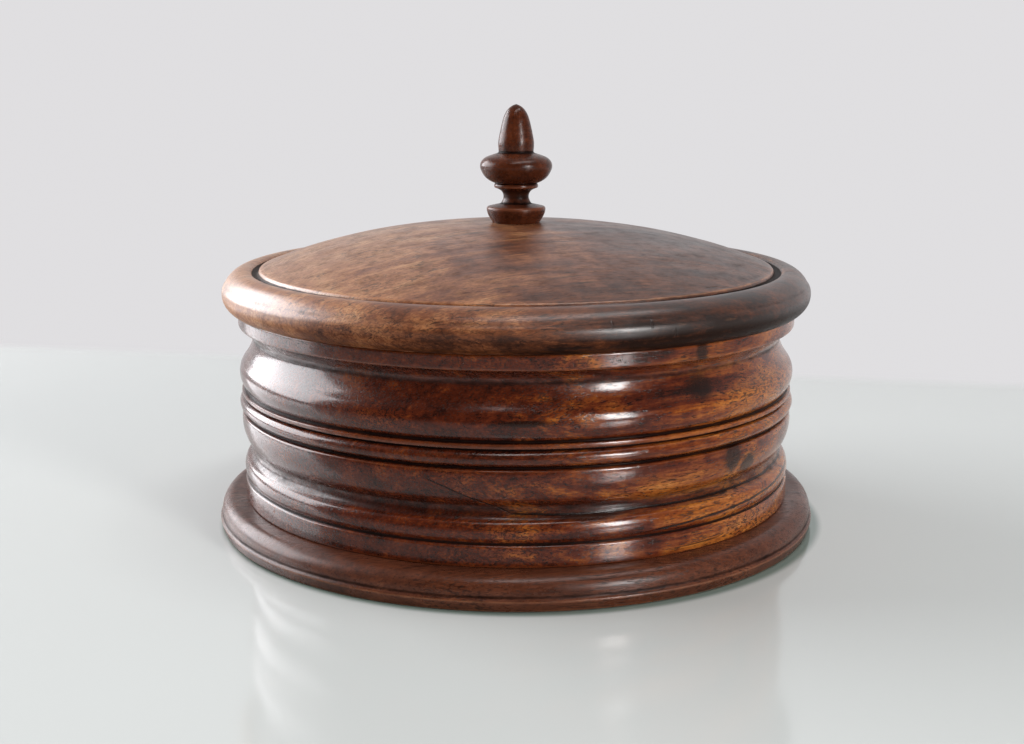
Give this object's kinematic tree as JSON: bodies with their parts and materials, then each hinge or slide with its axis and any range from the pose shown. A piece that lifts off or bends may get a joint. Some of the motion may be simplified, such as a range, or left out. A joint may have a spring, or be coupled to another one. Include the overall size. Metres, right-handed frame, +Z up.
{
  "type": "tobacco jar",
  "caption": "Round turned wooden tobacco jar on a moulded foot, with a lead lining and a domed lift-off lid that carries an acorn finial.",
  "frame": {"origin": "centre of the foot's underside, on the surface that the jar stands on", "axes": "+Z up along the turning axis, through the finial's tip; the jar is round, and -Y is taken as its front, towards the picture's camera"},
  "size_m": [0.2068, 0.2068, 0.1415],
  "materials": {
    "foot_wood": "polished",
    "body_wood": "polished",
    "lid_wood": "satin",
    "finial_wood": "polished",
    "lead": "dull bare lead sheet",
    "screw_steel": "worn"
  },
  "bodies": {
    "jar": {"foot": "foot_wood", "body": "body_wood", "liner_wall": "lead", "liner_floor": "lead", "foot_screws": "screw_steel"},
    "lid_with_finial": {"lid": "lid_wood", "finial": "finial_wood"}
  },
  "joints": [
    {"name": "lid_lift", "type": "slide", "parent": "jar", "child": "lid_with_finial", "axis": [0, 0, 1], "range_m": [0, 0.14]}
  ]
}
